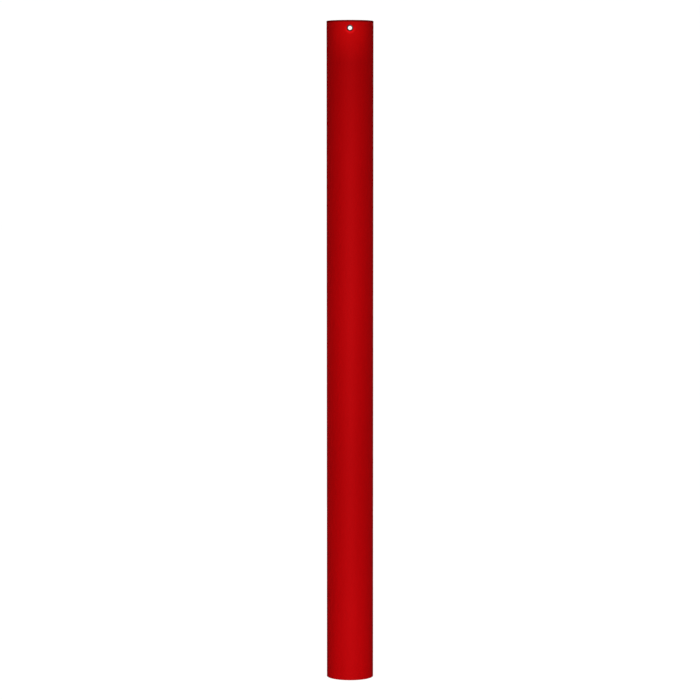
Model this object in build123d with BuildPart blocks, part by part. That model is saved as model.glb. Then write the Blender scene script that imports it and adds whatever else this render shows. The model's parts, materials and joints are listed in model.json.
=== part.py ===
from build123d import *
import os

# Pole tube of a windsock. Millimetres. +Z runs up the pole, the origin is the centre of its foot,
# and the retaining pin crosses the head along Y.

# Pole tube: a 60.3 x 2.9 round steel tube, cut square at both ends
TUBE_OD = 60.3
TUBE_WALL = 2.9
TUBE_LENGTH = 850.0
HEAD_RIM_ROUND = 0.4
HEAD_BORE_ROUND = 0.4
FOOT_RIM_ROUND = 0.3

# Cross holes at the head. The front one is 8 in the tube, and guides a 5 mm pin in the liner behind it.
# The back one is wide enough in both for the pin's head to drop in.
PIN_DROP = 10.0
FRONT_HOLE_D = 8.0
LINER_HOLE_D = 5.3
BACK_HOLE_D = 12.0
TUBE_HOLE_ROUND = 0.3

# Head liner: a moulded sleeve that brings the tube's bore down to a 48.3 stem
SOCKET_D = 48.5
LINER_LENGTH = 100.0
LINER_RECESS = 1.0
LINER_LEAD_IN = 1.5
LIP_THICKNESS = 4.0
LIP_OPENING_D = 42.0
GROOVE_COUNT = 4
GROOVE_WIDTH = 3.0
GROOVE_DEPTH = 1.2

# Foot plug: a finned push-in cup, flush with the foot
PLUG_HEIGHT = 36.0
PLUG_FLOOR = 5.0
PLUG_EDGE = 0.4
SKIRT_OD = 51.5
SKIRT_WALL = 2.5
FIN_COUNT = 4
FIN_THICKNESS = 1.6
DISH_D = 44.0
DISH_DEPTH = 1.0
DRAIN_D = 8.0
DRAIN_ROUND = 0.6

# Worked out from the values above
BORE_D = TUBE_OD - 2 * TUBE_WALL
PIN_HEIGHT = TUBE_LENGTH - PIN_DROP
LINER_BOTTOM = TUBE_LENGTH - LINER_RECESS - LINER_LENGTH
GROOVE_FLOOR_R = SOCKET_D / 2 + GROOVE_DEPTH
FIN_PITCH = (PLUG_HEIGHT - PLUG_FLOOR - FIN_THICKNESS) / FIN_COUNT
ACROSS = Plane(origin=(0, 0, PIN_HEIGHT), x_dir=(1, 0, 0), z_dir=(0, -1, 0))
TO_FRONT = TUBE_OD
TO_BACK = -TUBE_OD


def off_axis(edge):
    """How far the middle of an edge lies in front of or behind the pole's axis."""
    return abs(edge.center().Y)


def end_edges(part, end):
    """The edges of a part's lowest face (end 0) or highest face (end -1), the smallest circle first."""
    return part.faces().sort_by(Axis.Z)[end].edges().sort_by(SortBy.RADIUS)


with BuildPart() as pole_tube:
    with BuildSketch(Plane.XY):
        Circle(TUBE_OD / 2)
        Circle(BORE_D / 2, mode=Mode.SUBTRACT)
    extrude(amount=TUBE_LENGTH)
    fillet(end_edges(pole_tube, -1)[-1], radius=HEAD_RIM_ROUND)
    fillet(end_edges(pole_tube, -1)[0], radius=HEAD_BORE_ROUND)
    fillet(end_edges(pole_tube, 0), radius=FOOT_RIM_ROUND)
    for hole_d, depth in ((FRONT_HOLE_D, TO_FRONT), (BACK_HOLE_D, TO_BACK)):
        with BuildSketch(ACROSS):
            Circle(hole_d / 2)
        extrude(amount=depth, mode=Mode.SUBTRACT)
        fillet(pole_tube.edges(Select.LAST).sort_by(off_axis)[-1], radius=TUBE_HOLE_ROUND)

with BuildPart() as head_liner:
    with BuildSketch(Plane.XY.offset(LINER_BOTTOM)):
        Circle(BORE_D / 2)
        Circle(LIP_OPENING_D / 2, mode=Mode.SUBTRACT)
    extrude(amount=LINER_LENGTH)
    with BuildSketch(Plane.XY.offset(LINER_BOTTOM + LIP_THICKNESS)):
        Circle(SOCKET_D / 2)
    extrude(amount=LINER_LENGTH, mode=Mode.SUBTRACT)
    chamfer(end_edges(head_liner, -1)[0], length=LINER_LEAD_IN)
    chamfer(end_edges(head_liner, 0)[-1], length=LINER_LEAD_IN)
    # Rain that runs into the socket leaves past the stem through these grooves.
    with BuildSketch(Plane.XY.offset(LINER_BOTTOM)):
        with PolarLocations(GROOVE_FLOOR_R / 2, GROOVE_COUNT, start_angle=180 / GROOVE_COUNT):
            Rectangle(GROOVE_FLOOR_R, GROOVE_WIDTH)
    extrude(amount=LINER_LENGTH, mode=Mode.SUBTRACT)
    for hole_d, depth in ((LINER_HOLE_D, TO_FRONT), (BACK_HOLE_D, TO_BACK)):
        with BuildSketch(ACROSS):
            Circle(hole_d / 2)
        extrude(amount=depth, mode=Mode.SUBTRACT)

with BuildPart() as foot_plug:
    with BuildSketch(Plane.XY):
        Circle(BORE_D / 2)
    extrude(amount=PLUG_FLOOR)
    chamfer(end_edges(foot_plug, 0), length=PLUG_EDGE)
    with BuildSketch(Plane.XY.offset(PLUG_FLOOR)):
        Circle(SKIRT_OD / 2)
        Circle(SKIRT_OD / 2 - SKIRT_WALL, mode=Mode.SUBTRACT)
    extrude(amount=PLUG_HEIGHT - PLUG_FLOOR)
    # Sealing fins reach the tube's bore.
    for fin in range(FIN_COUNT):
        with BuildSketch(Plane.XY.offset(PLUG_FLOOR + (fin + 1) * FIN_PITCH)):
            Circle(BORE_D / 2)
            Circle(SKIRT_OD / 2 - SKIRT_WALL, mode=Mode.SUBTRACT)
        extrude(amount=FIN_THICKNESS)
    # The underside is dished, so that the plug bears on its edge and water finds the drain hole.
    with BuildSketch(Plane.XY):
        Circle(DISH_D / 2)
    extrude(amount=DISH_DEPTH, mode=Mode.SUBTRACT)
    with BuildSketch(Plane.XY):
        Circle(DRAIN_D / 2)
    extrude(amount=PLUG_FLOOR, mode=Mode.SUBTRACT)
    drain_edges = foot_plug.edges().filter_by(GeomType.CIRCLE).group_by(SortBy.RADIUS)[0]
    fillet(drain_edges, radius=DRAIN_ROUND)

os.makedirs("parts", exist_ok=True)
for name, piece in (("pole_tube", pole_tube), ("head_liner", head_liner), ("foot_plug", foot_plug)):
    piece.part.label = name
    export_step(piece.part, f"parts/{name}.step")
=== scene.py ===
import json
import math

import bmesh
import bpy
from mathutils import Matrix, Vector


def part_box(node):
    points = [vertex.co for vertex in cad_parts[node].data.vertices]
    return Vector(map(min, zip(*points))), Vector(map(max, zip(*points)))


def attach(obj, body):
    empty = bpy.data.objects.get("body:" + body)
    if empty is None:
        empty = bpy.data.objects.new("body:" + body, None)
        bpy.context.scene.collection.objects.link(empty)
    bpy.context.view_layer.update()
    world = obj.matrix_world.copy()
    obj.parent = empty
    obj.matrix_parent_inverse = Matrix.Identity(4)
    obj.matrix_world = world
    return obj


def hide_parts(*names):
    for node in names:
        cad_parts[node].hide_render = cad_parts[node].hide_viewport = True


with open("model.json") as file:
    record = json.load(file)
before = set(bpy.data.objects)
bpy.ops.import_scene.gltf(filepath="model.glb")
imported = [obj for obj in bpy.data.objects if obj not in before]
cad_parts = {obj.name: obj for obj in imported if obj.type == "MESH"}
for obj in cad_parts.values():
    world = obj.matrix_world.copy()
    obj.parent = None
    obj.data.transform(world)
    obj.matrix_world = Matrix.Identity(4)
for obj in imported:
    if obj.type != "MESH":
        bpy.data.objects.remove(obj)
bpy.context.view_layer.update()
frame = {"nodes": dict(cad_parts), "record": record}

# Sizes, in metres, from the frame
MM = 0.001
MOUNTS = {mount["name"]: mount for mount in frame["record"]["mounts"]}
TUBE_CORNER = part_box("pole_tube")[1]
LINER_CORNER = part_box("head_liner")[1]

TUBE_R = TUBE_CORNER.x
TUBE_TOP = TUBE_CORNER.z
BORE_R = LINER_CORNER.x
LINER_TOP = LINER_CORNER.z
PIN_Z = MOUNTS["pin_hole"]["pos_m"][2]
BACK_HOLE_R = MOUNTS["pin_head_hole"]["dims"]["r_mm"] * MM

# The tube's front hole and rims, which the record doesn't hold
FRONT_HOLE_R = 4.0 * MM
HEAD_ROUND = 0.4 * MM
FOOT_ROUND = 0.3 * MM
HOLE_EDGE = 0.35 * MM           # rounding of a hole's edge, coat included

# The powder coat, and the highlights and shade painted on it
BEAD_OUT = 0.85 * MM            # it gathers in a low ring, this far outside each hole
BEAD_WIDTH = 0.55 * MM
BEAD_HEIGHT = 0.14 * MM
HOLE_HIGHLIGHT_WIDTH = 4.0 * MM            # a painted highlight lies within this of a hole, except above it
HIGHLIGHT_FROM = 54.0 * MM           # a painted highlight on the head's front grows from this far below the top to this far below it
HIGHLIGHT_TO = 17.0 * MM             # to this far below it
RIM_SHADE_DEPTH = 3.4 * MM           # painted shade darkens this much of the head's outside, below its rim
CROWN_DEPTH = 0.25 * MM         # it is chipped only this close to the top

# How finely the tube is meshed
COLUMNS = 192                   # round the tube
PATCH = 9                       # half the width of the square of cells round each hole, in columns
ROUND_STEPS = 8                 # along each rounded edge
BEAD_STEPS = 10                 # across each bead
LONG_STEP = 20.0 * MM
END_STEP = 1.5 * MM             # the first and last step of a long stretch
SHARP_DEGREES = 32              # faces that meet at more than this aren't shaded as one

# Colours, linear
RED = (0.52, 0.0011, 0.0026)
DEEP_RED = (0.49, 0.0010, 0.0024)
# painted highlight over the head's front
HEAD_HIGHLIGHT_RED = (0.71, 0.0024, 0.0034)
# painted highlight round the cross holes
HOLE_HIGHLIGHT_RED = (0.96, 0.0060, 0.0085)
# painted shade along the head's rim
RIM_SHADE_RED = (0.02, 0.0001, 0.0002)
ZINC = (0.52, 0.54, 0.56)
DULL_ZINC = (0.36, 0.38, 0.40)
NYLON = (0.018, 0.018, 0.020)
PALE_NYLON = (0.028, 0.028, 0.030)
RUBBED_NYLON = (0.075, 0.075, 0.078)
WAX = (0.020, 0.020, 0.022)
PALE_WAX = (0.032, 0.032, 0.034)
SCRATCHED_WAX = (0.11, 0.108, 0.105)
FLOOR = (0.03, 0.03, 0.03)
PALE_FLOOR = (0.04, 0.04, 0.04)

# The studio
WHITE = 1.01                    # just over white, so that no horizon shows between floor and surroundings
AMBIENT = 0.15
MIRRORED = 0.05
FLOOR_HALF = 20.0
LENS_MM = 134.22
EYE_DISTANCE = 3.369            # this and the eye's height come from the curves of the pole's two ends
EYE_HEIGHT = TUBE_TOP - 0.167
AIM_HEIGHT = TUBE_TOP / 2 + 0.0019


# ---------------------------------------------------------------- meshes

class Net:
    """Points and faces of one mesh, each face with the number of its material."""

    def __init__(self):
        self.points = []
        self.faces = []
        self.paints = []

    def point(self, x, y, z):
        self.points.append((x, y, z))
        return len(self.points) - 1

    def quad(self, a, b, c, d, paint):
        self.faces.append((a, b, c, d))
        self.paints.append(paint)

    def bridge(self, first, second, paint):
        """Quads between two closed loops of as many points."""
        for i in range(len(first)):
            j = (i + 1) % len(first)
            self.quad(first[i], first[j], second[j], second[i], paint)

    def build(self, name, materials):
        mesh = bpy.data.meshes.new(name)
        mesh.from_pydata(self.points, [], self.faces)
        mesh.polygons.foreach_set("material_index", self.paints)
        edit = bmesh.new()
        edit.from_mesh(mesh)
        bmesh.ops.recalc_face_normals(edit, faces=edit.faces)
        edit.to_mesh(mesh)
        edit.free()
        for material in materials:
            mesh.materials.append(material)
        mesh.shade_smooth()
        mesh.set_sharp_from_angle(angle=math.radians(SHARP_DEGREES))
        piece = bpy.data.objects.new(name, mesh)
        bpy.context.scene.collection.objects.link(piece)
        return piece


def round_point(radius, column, z):
    """A point of the tube's grid. Column 0 faces the front."""
    turn = 2 * math.pi * column / COLUMNS
    return radius * math.sin(turn), -radius * math.cos(turn), z


def ring(net, radius, z):
    return [net.point(*round_point(radius, column, z)) for column in range(COLUMNS)]


def drilled_wall(net, radius, cell, paint):
    """The part of a wall that holds both cross holes. Returns its lowest and highest ring and, for the
    front hole and the back one, the closed loop of grid points round the square left open for it."""
    rows = []
    for row in range(-PATCH, PATCH + 1):
        points = []
        for column in range(COLUMNS):
            from_hole = min(column % (COLUMNS // 2), -column % (COLUMNS // 2))
            inside = from_hole < PATCH and abs(row) < PATCH
            place = round_point(radius, column, PIN_Z + row * cell)
            points.append(None if inside else net.point(*place))
        rows.append(points)
    for low, high in zip(rows, rows[1:]):
        for column in range(COLUMNS):
            following = (column + 1) % COLUMNS
            corners = (low[column], low[following], high[following], high[column])
            if None not in corners:
                net.quad(*corners, paint)
    squares = []
    for middle in (0, COLUMNS // 2):
        side = range(-PATCH, PATCH)
        loop = [rows[0][(middle + step) % COLUMNS] for step in side]
        loop += [rows[PATCH + step][(middle + PATCH) % COLUMNS] for step in side]
        loop += [rows[2 * PATCH][(middle - step) % COLUMNS] for step in side]
        loop += [rows[PATCH - step][(middle - PATCH) % COLUMNS] for step in side]
        squares.append(loop)
    return rows[0], rows[-1], squares


def hole_loop(net, square, radius, reach, lift, share=1.0):
    """A loop of points round a cross hole, reach from the pin's axis and lifted off a wall of that
    radius. A share under 1 leaves it part of the way from the square of grid points to that circle."""
    loop = []
    for index in square:
        x, y, z = net.points[index]
        front = -1 if y < 0 else 1
        angle = math.atan2(z - PIN_Z, x)
        across = x + (reach * math.cos(angle) - x) * share
        height = z + (PIN_Z + reach * math.sin(angle) - z) * share
        depth = math.sqrt(radius ** 2 - across ** 2) + lift
        loop.append(net.point(across, front * depth, height))
    return loop


def bead(outside):
    """How far the coat stands off the tube at a distance outside a hole's edge."""
    away = (outside - BEAD_OUT) / BEAD_WIDTH
    return BEAD_HEIGHT * math.exp(-away * away)


def arc(centre_r, centre_z, radius, first_degrees, last_degrees):
    """Points (r, z) of a rounded edge's section, both ends included."""
    section = []
    for step in range(ROUND_STEPS + 1):
        turn = math.radians(first_degrees + (last_degrees - first_degrees) * step / ROUND_STEPS)
        section.append((centre_r + radius * math.cos(turn), centre_z + radius * math.sin(turn)))
    return section


def levels(low, high):
    """Heights between two rows of a long stretch, both left out."""
    count = round((high - low) / LONG_STEP)
    even = [low + (high - low) * step / count for step in range(1, count)]
    return [low + END_STEP] + even + [high - END_STEP]


def run(net, loop, section, paint):
    """Carries a wall on from a loop, round the axis, through the points (r, z) of a section."""
    for r, z in section:
        following = ring(net, r, z)
        net.bridge(loop, following, paint)
        loop = following
    return loop


def drill(net, hole_r, outer, inner):
    """Fills in the squares left open in the two walls, and joins them with a cross hole."""
    bead_end = BEAD_OUT + 2 * BEAD_WIDTH
    loops = [outer, hole_loop(net, outer, TUBE_R, hole_r + bead_end, 0, share=0.5)]
    for step in range(BEAD_STEPS + 1):
        outside = bead_end + (HOLE_EDGE - bead_end) * step / BEAD_STEPS
        loops.append(hole_loop(net, outer, TUBE_R, hole_r + outside, bead(outside)))
    for r, z in arc(hole_r + HOLE_EDGE, bead(HOLE_EDGE) - HOLE_EDGE, HOLE_EDGE, 90, 180)[1:]:
        loops.append(hole_loop(net, outer, TUBE_R, r, z))
    loops.append(hole_loop(net, outer, BORE_R, hole_r, 0))
    for first, second in zip(loops, loops[1:]):
        net.bridge(first, second, 0)
    bare = hole_loop(net, inner, BORE_R, hole_r + HOLE_EDGE, 0)
    net.bridge(loops[-1], bare, 1)
    net.bridge(bare, inner, 1)


def make_tube(coat, metal):
    """The pole's tube, with rounded rims, a drilled head and the coat's bead round each hole."""
    net = Net()
    cell = 2 * math.pi * TUBE_R / COLUMNS
    patch_low = PIN_Z - PATCH * cell
    outer_low, outer_high, outer_squares = drilled_wall(net, TUBE_R, cell, 0)
    inner_low, inner_high, inner_squares = drilled_wall(net, BORE_R, cell, 1)

    foot_outside = arc(TUBE_R - FOOT_ROUND, FOOT_ROUND, FOOT_ROUND, 0, -90)
    foot_inside = arc(BORE_R + FOOT_ROUND, FOOT_ROUND, FOOT_ROUND, -90, -180)
    head_outside = arc(TUBE_R - HEAD_ROUND, TUBE_TOP - HEAD_ROUND, HEAD_ROUND, 0, 90)
    head_inside = arc(BORE_R + HEAD_ROUND, TUBE_TOP - HEAD_ROUND, HEAD_ROUND, 90, 180)
    heights = levels(FOOT_ROUND, patch_low)
    down_outside = [(TUBE_R, z) for z in reversed(heights)]
    up_inside = [(BORE_R, z) for z in heights]

    foot = run(net, outer_low, down_outside + foot_outside + foot_inside, 0)
    net.bridge(run(net, foot, up_inside, 1), inner_low, 1)
    net.bridge(run(net, outer_high, head_outside + head_inside, 0), inner_high, 0)
    for hole_r, outer, inner in zip((FRONT_HOLE_R, BACK_HOLE_R), outer_squares, inner_squares):
        drill(net, hole_r, outer, inner)
    return net.build("pole_tube_coated", [coat, metal])


# ---------------------------------------------------------------- materials

class Paint:
    """A material's node tree, with short calls for the nodes that a procedural finish needs."""

    def __init__(self, name):
        self.material = bpy.data.materials.new(name)
        self.material.use_nodes = True
        self.nodes = self.material.node_tree.nodes
        self.links = self.material.node_tree.links
        self.shader = self.nodes["Principled BSDF"]
        self.place = self.nodes.new("ShaderNodeTexCoord").outputs["Object"]

    def put(self, socket, value):
        if isinstance(value, bpy.types.NodeSocket):
            self.links.new(value, socket)
        else:
            socket.default_value = value

    def set(self, **values):
        """Sets the shader's inputs, named with underscores for spaces."""
        for name, value in values.items():
            self.put(self.shader.inputs[name.replace("_", " ")], value)

    def stretched(self, x, y, z):
        """The object's coordinates, each scaled. A small scale draws a pattern out along that axis."""
        node = self.nodes.new("ShaderNodeMapping")
        node.inputs["Scale"].default_value = (x, y, z)
        self.links.new(self.place, node.inputs["Vector"])
        return node.outputs["Vector"]

    def noise(self, scale, detail=2.0, roughness=0.5, where=None):
        """A cloudy pattern, scale cells to the metre. Most of it lies between 0.3 and 0.7."""
        node = self.nodes.new("ShaderNodeTexNoise")
        node.inputs["Scale"].default_value = scale
        node.inputs["Detail"].default_value = detail
        node.inputs["Roughness"].default_value = roughness
        self.links.new(where or self.place, node.inputs["Vector"])
        return node.outputs["Fac"]

    def ramp(self, value, *stops):
        """A ramp of greys: stops are (position, grey)."""
        node = self.nodes.new("ShaderNodeValToRGB")
        elements = node.color_ramp.elements
        while len(elements) < len(stops):
            elements.new(0.5)
        for element, (position, grey) in zip(elements, stops):
            element.position = position
            element.color = (grey, grey, grey, 1.0)
        self.put(node.inputs["Fac"], value)
        return node.outputs["Color"]

    def math(self, operation, first, second=0.0):
        node = self.nodes.new("ShaderNodeMath")
        node.operation = operation
        self.put(node.inputs[0], first)
        self.put(node.inputs[1], second)
        return node.outputs[0]

    def span(self, value, low, high, to_low=0.0, to_high=1.0):
        """Goes evenly from to_low to to_high as the value goes from low to high, level past both."""
        node = self.nodes.new("ShaderNodeMapRange")
        for name, number in (("Value", value), ("From Min", low), ("From Max", high),
                             ("To Min", to_low), ("To Max", to_high)):
            self.put(node.inputs[name], number)
        return node.outputs["Result"]

    def mix(self, share, first, second):
        """A blend of two colours, all second where share is 1."""
        node = self.nodes.new("ShaderNodeMix")
        node.data_type = "RGBA"
        for number, value in ((0, share), (6, first), (7, second)):
            if isinstance(value, tuple):
                value = (*value, 1.0)
            self.put(node.inputs[number], value)
        return node.outputs[2]

    def bump(self, height, distance, strength=1.0, under=None):
        """Relief of that many metres, added to the relief under it."""
        node = self.nodes.new("ShaderNodeBump")
        node.inputs["Strength"].default_value = strength
        node.inputs["Distance"].default_value = distance
        self.links.new(height, node.inputs["Height"])
        if under is not None:
            self.links.new(under, node.inputs["Normal"])
        return node.outputs["Normal"]

    def axis(self, name):
        node = self.nodes.new("ShaderNodeSeparateXYZ")
        self.links.new(self.place, node.inputs[0])
        return node.outputs[name]

    def distance(self, first, second):
        """How far a point is from an axis that its two coordinates are measured from."""
        first_squared = self.math("MULTIPLY", first, first)
        second_squared = self.math("MULTIPLY", second, second)
        return self.math("SQRT", self.math("ADD", first_squared, second_squared))

    def off_axis(self):
        """Distance from the pole's own axis."""
        return self.distance(self.axis("X"), self.axis("Y"))

    def off_pin(self):
        """Distance from the axis of the cross holes."""
        return self.distance(self.axis("X"), self.math("SUBTRACT", self.axis("Z"), PIN_Z))


def painted_head_highlight(paint, z, colour):
    """A painted highlight over the front of the head, with little of it on the sides and back."""
    highlight_band = paint.span(z, TUBE_TOP - HIGHLIGHT_FROM, TUBE_TOP - HIGHLIGHT_TO)
    front = paint.span(paint.axis("Y"), -0.45 * TUBE_R, -0.9 * TUBE_R, 0.15, 1)
    return paint.mix(paint.math("MULTIPLY", highlight_band, front), colour, HEAD_HIGHLIGHT_RED)


def painted_hole_highlights(paint, z, colour):
    """A painted highlight beside and under the cross holes."""
    hole_r = paint.span(paint.axis("Y"), -MM, MM, FRONT_HOLE_R, BACK_HOLE_R)
    outside = paint.math("SUBTRACT", paint.off_pin(), hole_r)
    hole_highlight = paint.ramp(paint.span(outside, 0, HOLE_HIGHLIGHT_WIDTH), (0.05, 0.0), (0.2, 1.0), (0.55, 1.0), (1.0, 0.0))
    under = paint.span(z, PIN_Z + HOLE_HIGHLIGHT_WIDTH, PIN_Z - HOLE_HIGHLIGHT_WIDTH)
    return paint.mix(paint.math("MULTIPLY", hole_highlight, under), colour, HOLE_HIGHLIGHT_RED)


def painted_rim_shade(paint, z, colour):
    """Painted shade: a dark line along the head's outer edge, darkest at the top."""
    near = paint.span(z, TUBE_TOP - RIM_SHADE_DEPTH, TUBE_TOP)
    rim_shade = paint.ramp(near, (0.0, 0.0), (0.29, 0.2), (0.47, 0.52), (1.0, 0.75))
    side = paint.span(paint.off_axis(), TUBE_R - 0.5 * MM, TUBE_R - 0.2 * MM)
    return paint.mix(paint.math("MULTIPLY", rim_shade, side), colour, RIM_SHADE_RED)


def red_coat():
    """Satin red powder coat: fine orange peel and a little cloudiness, with the zinc under it showing in
    small chips on the rim's crown. Its colour also holds painted highlights over the head's front and
    round the holes, and painted shade along the head's rim."""
    paint = Paint("red_powder_coat")
    cloud = paint.noise(14, 3, 0.55, paint.stretched(1, 1, 0.35))
    peel = paint.noise(760, 2, 0.45)
    grain = paint.noise(2600, 1)
    z = paint.axis("Z")
    colour = paint.mix(paint.span(cloud, 0.35, 0.65), DEEP_RED, RED)
    # painted highlight over the head's front
    colour = painted_head_highlight(paint, z, colour)
    # painted highlight beside and under the cross holes
    colour = painted_hole_highlights(paint, z, colour)
    # painted shade along the head's outer rim
    colour = painted_rim_shade(paint, z, colour)
    crown = paint.span(z, TUBE_TOP - CROWN_DEPTH, TUBE_TOP - 0.02 * MM)
    chips = paint.span(paint.noise(330, 4, 0.6), 0.62, 0.66)
    worn = paint.math("MULTIPLY", crown, chips)
    paint.set(Base_Color=paint.mix(worn, colour, ZINC),
              Metallic=paint.math("MAXIMUM", worn, 0.08),
              Roughness=paint.span(grain, 0.3, 0.7, 0.54, 0.64),
              Specular_IOR_Level=0.03,
              Specular_Tint=(1, 0.65, 0.65, 1),
              Normal=paint.bump(grain, 0.02 * MM, 0.6, paint.bump(peel, 0.12 * MM, 0.8)))
    return paint.material


def galvanised():
    """Galvanised inside of the tube: mottled zinc, streaks along it, and red overspray near the ends."""
    paint = Paint("galvanised_steel")
    streaks = paint.noise(900, 2, 0.5, paint.stretched(1, 1, 0.01))
    blotch = paint.noise(60, 3)
    metal = paint.mix(paint.span(blotch, 0.3, 0.7), DULL_ZINC, ZINC)
    z = paint.axis("Z")
    near_head = paint.span(z, TUBE_TOP - 60 * MM, TUBE_TOP - 5 * MM)
    near_foot = paint.span(z, 40 * MM, 4 * MM)
    near_end = paint.math("MAXIMUM", near_head, near_foot)
    spray = paint.span(paint.math("ADD", near_end, paint.noise(700, 2)), 0.95, 1.25)
    paint.set(Base_Color=paint.mix(spray, metal, DEEP_RED),
              Metallic=paint.span(spray, 0, 1, 1.0, 0.2),
              Roughness=paint.span(streaks, 0.3, 0.7, 0.32, 0.5),
              Normal=paint.bump(streaks, 0.02 * MM, 0.6))
    return paint.material


def black_nylon():
    """Moulded nylon of the liner: matt, with faint flow marks and scuffs where a stem goes in."""
    paint = Paint("black_nylon")
    flow = paint.noise(45, 4, 0.6, paint.stretched(1, 1, 0.3))
    grain = paint.noise(1800, 2)
    scuff = paint.noise(420, 3, 0.6, paint.stretched(1, 1, 0.04))
    mouth = paint.span(paint.axis("Z"), LINER_TOP - 30 * MM, LINER_TOP)
    rubbed = paint.math("MULTIPLY", mouth, paint.span(scuff, 0.56, 0.68))
    plain = paint.mix(paint.span(flow, 0.3, 0.7), NYLON, PALE_NYLON)
    paint.set(Base_Color=paint.mix(rubbed, plain, RUBBED_NYLON),
              Roughness=paint.span(flow, 0.3, 0.7, 0.46, 0.62),
              Specular_IOR_Level=0.4,
              Normal=paint.bump(grain, 0.015 * MM, 0.6, paint.bump(scuff, 0.02 * MM, 0.4)))
    return paint.material


def black_polyethylene():
    """Waxy polyethylene of the foot plug: faint turned rings from its mould, scratches from standing."""
    paint = Paint("black_polyethylene")
    ring_pitch = 0.8 * MM
    rings = paint.math("SINE", paint.math("MULTIPLY", paint.off_axis(), 2 * math.pi / ring_pitch))
    wax = paint.noise(70, 4, 0.6)
    scratch = paint.noise(260, 5, 0.7, paint.stretched(1, 0.12, 1))
    sole = paint.span(paint.axis("Z"), 1.2 * MM, 0.2 * MM)
    scratched = paint.math("MULTIPLY", sole, paint.span(scratch, 0.56, 0.62))
    plain = paint.mix(paint.span(wax, 0.3, 0.7), WAX, PALE_WAX)
    paint.set(Base_Color=paint.mix(scratched, plain, SCRATCHED_WAX),
              Roughness=paint.span(wax, 0.3, 0.7, 0.38, 0.55),
              Specular_IOR_Level=0.45,
              Normal=paint.bump(rings, 0.02 * MM, 0.5, paint.bump(scratch, 0.05 * MM, 0.3)))
    return paint.material


def paint_node(node, material):
    """Gives a CAD node that stays in view its finished material."""
    mesh = frame["nodes"][node].data
    mesh.materials.clear()
    mesh.materials.append(material)


# ---------------------------------------------------------------- studio

def aim(thing, target):
    thing.rotation_euler = (Vector(target) - thing.location).to_track_quat("-Z", "Y").to_euler()


def softbox(name, place, width, height, watts, aim_z=None, glossy=True):
    """A lamp that faces the pole's axis, at its own height unless aim_z is given. Sizes in metres."""
    lamp = bpy.data.lights.new(name, "AREA")
    lamp.shape = "RECTANGLE"
    lamp.size = width
    lamp.size_y = height
    lamp.energy = watts
    holder = bpy.data.objects.new(name, lamp)
    holder.location = place
    aim(holder, (0, 0, place[2] if aim_z is None else aim_z))
    holder.visible_camera = False
    holder.visible_glossy = glossy
    bpy.context.scene.collection.objects.link(holder)


def make_lamps():
    """A key in front, two flat strips close to the pole that lift its middle and foot, and soft light on
    its sides, its back and down into its head."""
    softbox("key", (0, -1.25, 0.26), width=0.6, height=1.0, watts=12.1)
    softbox("middle_glow", (0, -0.40, 0.54), width=0.7, height=0.12, watts=0.33)
    softbox("foot_glow", (0, -0.32, -0.02), width=0.6, height=0.12, watts=0.55)
    for name, x in (("side_left", -0.5), ("side_right", 0.5)):
        softbox(name, (x, 0.37, 0.29), width=0.3, height=0.5, watts=1.15, glossy=False)
    softbox("fill_back", (0, 1.6, 0.5), width=0.8, height=1.2, watts=12, aim_z=0.42, glossy=False)
    softbox("overhead", (0, 0.1, 2.0), width=0.5, height=0.5, watts=9, aim_z=0.85)


def make_floor():
    """A wide, very pale floor. It glows like a lightbox, just enough to meet the white surroundings with
    no horizon, and takes hardly any of the lamps' light, so that it doesn't flare round the outline."""
    paint = Paint("pale_floor")
    paint.set(Base_Color=paint.mix(paint.noise(90, 3), FLOOR, PALE_FLOOR),
              Roughness=0.9,
              Specular_IOR_Level=0.0,
              Emission_Color=(1, 1, 1, 1),
              Emission_Strength=WHITE)
    mesh = bpy.data.meshes.new("floor")
    corners = [(x * FLOOR_HALF, y * FLOOR_HALF, 0) for x, y in ((-1, -1), (1, -1), (1, 1), (-1, 1))]
    mesh.from_pydata(corners, [], [(0, 1, 2, 3)])
    mesh.materials.append(paint.material)
    floor = bpy.data.objects.new("floor", mesh)
    bpy.context.scene.collection.objects.link(floor)
    floor.visible_glossy = False
    floor.visible_diffuse = False


def make_surroundings():
    """White to the eye, a dim even light on the object, and dimmer still in its reflections."""
    world = bpy.data.worlds.new("studio")
    bpy.context.scene.world = world
    world.use_nodes = True
    nodes = world.node_tree.nodes
    links = world.node_tree.links
    nodes.clear()
    path = nodes.new("ShaderNodeLightPath")

    def plain(level):
        node = nodes.new("ShaderNodeBackground")
        node.inputs["Color"].default_value = (level, level, level, 1)
        return node.outputs[0]

    def switch(ray, otherwise, chosen):
        mix = nodes.new("ShaderNodeMixShader")
        for socket, value in zip(mix.inputs, (path.outputs[ray], otherwise, chosen)):
            links.new(value, socket)
        return mix.outputs[0]

    light = switch("Is Glossy Ray", plain(AMBIENT), plain(MIRRORED))
    seen = switch("Is Camera Ray", light, plain(WHITE))
    links.new(seen, nodes.new("ShaderNodeOutputWorld").inputs[0])


def make_camera():
    """A long lens below the head's height, tipped down a little to take in the whole pole."""
    lens = bpy.data.cameras.new("camera")
    lens.sensor_width = 36.0
    lens.lens = LENS_MM
    lens.clip_start = 0.1
    lens.clip_end = 60
    camera = bpy.data.objects.new("camera", lens)
    camera.location = (0, -EYE_DISTANCE, EYE_HEIGHT)
    aim(camera, (0, 0, AIM_HEIGHT))
    bpy.context.scene.collection.objects.link(camera)
    bpy.context.scene.camera = camera


def show_plainly():
    """Colours come out as they are, with no film curve over them."""
    view = bpy.context.scene.view_settings
    view.view_transform = "Standard"
    view.look = "None"
    bpy.context.scene.display_settings.display_device = "sRGB"


# ---------------------------------------------------------------- the object

tube = make_tube(red_coat(), galvanised())
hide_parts("pole_tube")
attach(tube, "root")
paint_node("head_liner", black_nylon())
paint_node("foot_plug", black_polyethylene())

make_camera()
make_floor()
make_surroundings()
make_lamps()
show_plainly()
